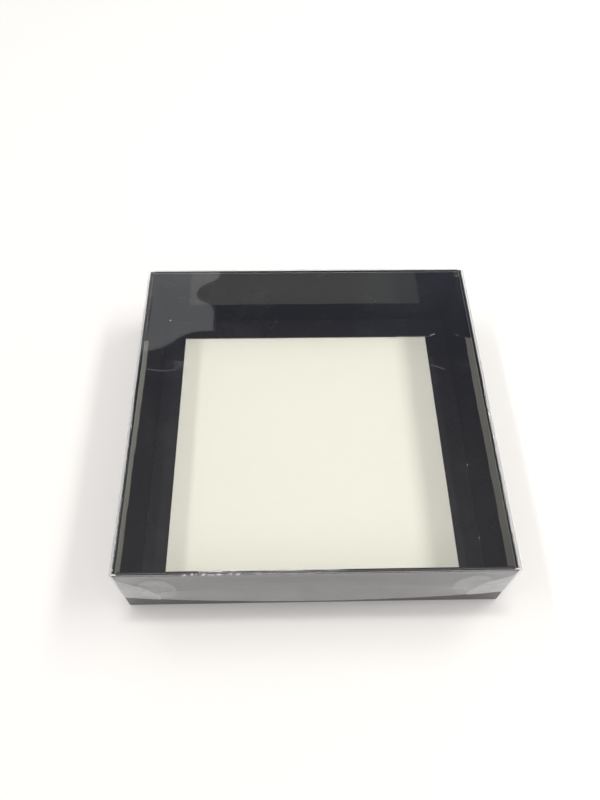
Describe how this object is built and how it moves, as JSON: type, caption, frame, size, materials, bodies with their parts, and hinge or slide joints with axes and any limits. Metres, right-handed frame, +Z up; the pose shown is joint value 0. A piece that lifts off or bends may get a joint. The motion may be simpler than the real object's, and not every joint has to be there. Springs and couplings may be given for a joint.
{
  "type": "specimen display box",
  "caption": "Shallow square display box for specimens: a black gloss board tray with folded double walls and a white floor, under a lift-off clear film lid.",
  "frame": {"origin": "centre of the tray's underside, which is the bottom centre of the closed box", "axes": "+Z up, the way the lid lifts off; +X to the right and -Y to the front, as the picture shows the box"},
  "size_m": [0.1562, 0.1562, 0.0367],
  "materials": {
    "black_gloss_board": "gloss",
    "white_board": "satin",
    "clear_film": "gloss",
    "clear_glue": "satin"
  },
  "bodies": {
    "tray": {"tray_back_floor_flap": "black_gloss_board", "tray_back_inner_wall": "black_gloss_board", "tray_back_left_ear": "black_gloss_board", "tray_back_outer_wall": "black_gloss_board", "tray_back_right_ear": "black_gloss_board", "tray_back_rim": "black_gloss_board", "tray_floor": "white_board", "tray_front_floor_flap": "black_gloss_board", "tray_front_inner_wall": "black_gloss_board", "tray_front_left_ear": "black_gloss_board", "tray_front_outer_wall": "black_gloss_board", "tray_front_right_ear": "black_gloss_board", "tray_front_rim": "black_gloss_board", "tray_left_floor_flap": "black_gloss_board", "tray_left_inner_wall": "black_gloss_board", "tray_left_outer_wall": "black_gloss_board", "tray_left_rim": "black_gloss_board", "tray_right_floor_flap": "black_gloss_board", "tray_right_inner_wall": "black_gloss_board", "tray_right_outer_wall": "black_gloss_board", "tray_right_rim": "black_gloss_board"},
    "lid": {"lid_back_left_glue": "clear_glue", "lid_back_left_tab": "clear_film", "lid_back_right_glue": "clear_glue", "lid_back_right_tab": "clear_film", "lid_back_skirt": "clear_film", "lid_front_left_glue": "clear_glue", "lid_front_left_tab": "clear_film", "lid_front_right_glue": "clear_glue", "lid_front_right_tab": "clear_film", "lid_front_skirt": "clear_film", "lid_left_skirt": "clear_film", "lid_right_skirt": "clear_film", "lid_top_panel": "clear_film"}
  },
  "joints": [
    {"name": "lid_lift", "type": "slide", "parent": "tray", "child": "lid", "axis": [0, 0, 1], "range_m": [0, 0.08]}
  ]
}
